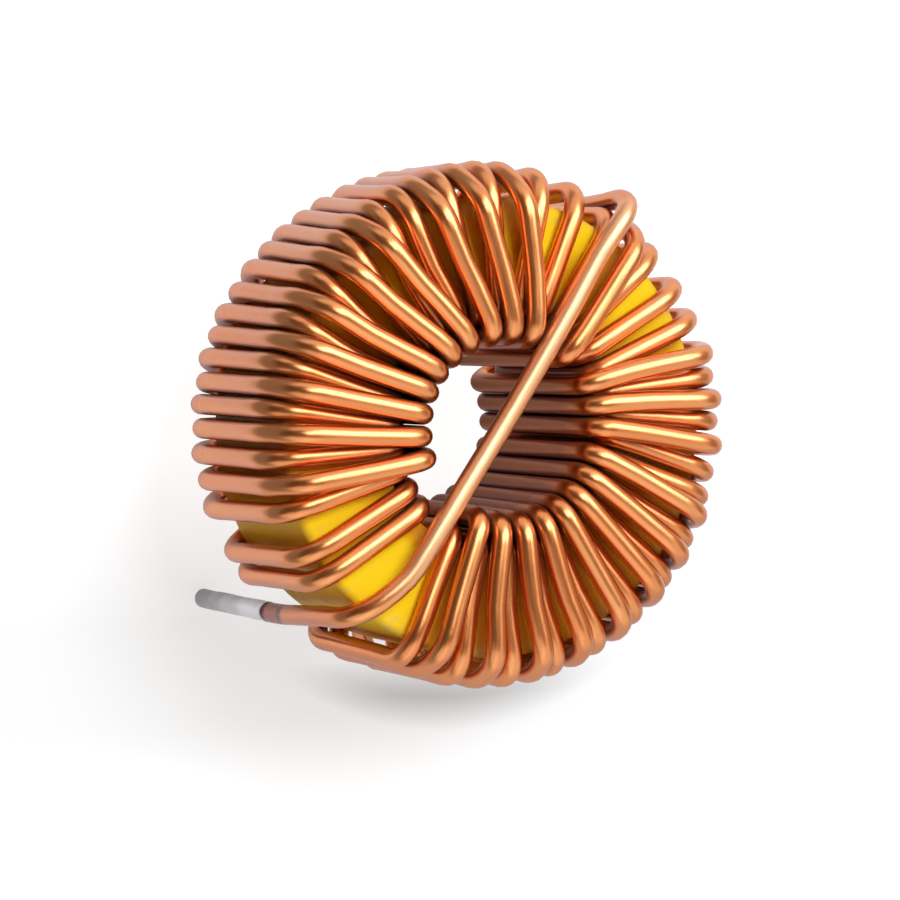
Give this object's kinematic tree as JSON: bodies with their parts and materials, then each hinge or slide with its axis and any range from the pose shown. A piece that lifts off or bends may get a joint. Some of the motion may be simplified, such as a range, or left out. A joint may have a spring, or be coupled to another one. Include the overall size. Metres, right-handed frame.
{
  "type": "toroidal inductor",
  "caption": "Toroidal inductor: a coated ring core closely wound with enamelled copper wire, with two tinned through-hole leads.",
  "frame": {"origin": "on the ring's axis, in the plane of the board that the lowest turns seat on", "axes": "+Z along the ring's axis, away from the board; the leads point along -Z; +Y is the pictured face's upward direction"},
  "size_m": [0.03, 0.0307, 0.0272],
  "materials": {
    "core_coating": "pressed iron powder under a smooth yellow coating",
    "enamelled_copper": "glossy amber enamel over copper",
    "solder": "dull, uneven dip-soldered tin"
  },
  "bodies": {
    "root": {"core": "core_coating", "winding": "enamelled_copper", "start_lead_solder": "solder", "finish_lead_solder": "solder"}
  },
  "joints": []
}
